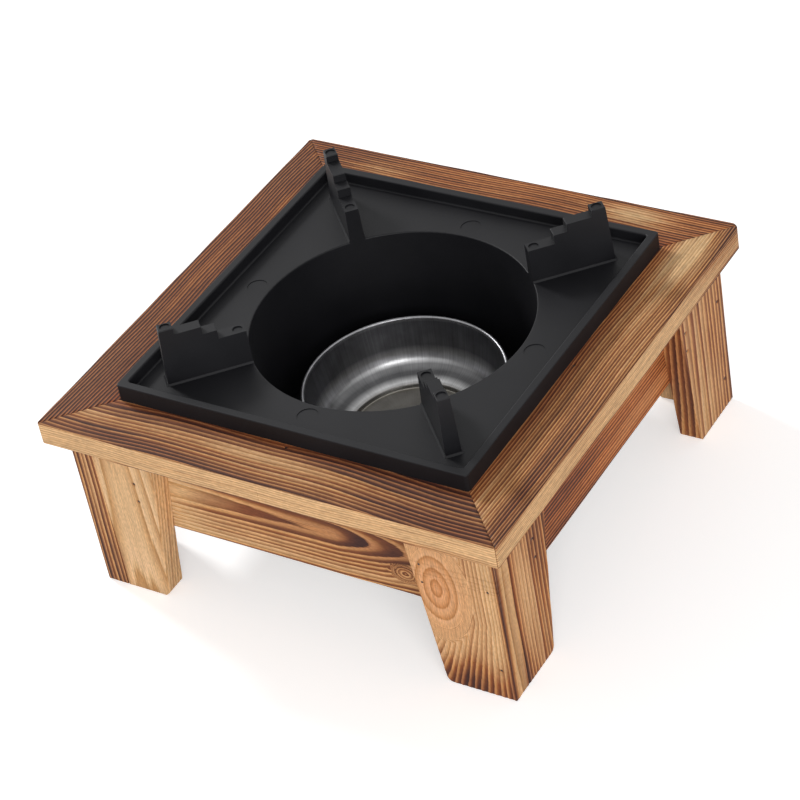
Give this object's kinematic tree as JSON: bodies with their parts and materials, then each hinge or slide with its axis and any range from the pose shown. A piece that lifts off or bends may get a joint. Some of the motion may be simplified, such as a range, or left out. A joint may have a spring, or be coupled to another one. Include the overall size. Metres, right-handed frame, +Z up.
{
  "type": "alcohol stove",
  "caption": "Tabletop alcohol stove: square pine stand with L-shaped legs, black cast hob with a deep well and stepped pot supports, loose steel fuel bowl.",
  "frame": {"origin": "on the floor, under the middle of the stand", "axes": "+Z up, -Y to the front of the stand, +X to its right"},
  "size_m": [0.25, 0.25, 0.139],
  "materials": {
    "scorched_pine": "scorched and brushed pine, satin",
    "brad_steel": "dull dark steel",
    "black_casting": "satin black coating on a casting",
    "bowl_steel": "brushed"
  },
  "bodies": {
    "stand": {"top_board_front": "scorched_pine", "top_board_right": "scorched_pine", "top_board_back": "scorched_pine", "top_board_left": "scorched_pine", "rail_front": "scorched_pine", "rail_right": "scorched_pine", "rail_back": "scorched_pine", "rail_left": "scorched_pine", "leg_front_right_wide_board": "scorched_pine", "leg_front_right_narrow_board": "scorched_pine", "leg_back_right_wide_board": "scorched_pine", "leg_back_right_narrow_board": "scorched_pine", "leg_back_left_wide_board": "scorched_pine", "leg_back_left_narrow_board": "scorched_pine", "leg_front_left_wide_board": "scorched_pine", "leg_front_left_narrow_board": "scorched_pine", "leg_rail_brads": "brad_steel", "leg_corner_brads": "brad_steel", "top_frame_brads": "brad_steel"},
    "hob": {"hob": "black_casting"},
    "fuel_bowl": {"fuel_bowl": "bowl_steel"}
  },
  "joints": [
    {"name": "hob_lift", "type": "slide", "parent": "stand", "child": "hob", "axis": [0, 0, 1], "range_m": [0, 0.085]},
    {"name": "bowl_lift", "type": "slide", "parent": "hob", "child": "fuel_bowl", "axis": [0, 0, 1], "range_m": [0, 0.115]}
  ]
}
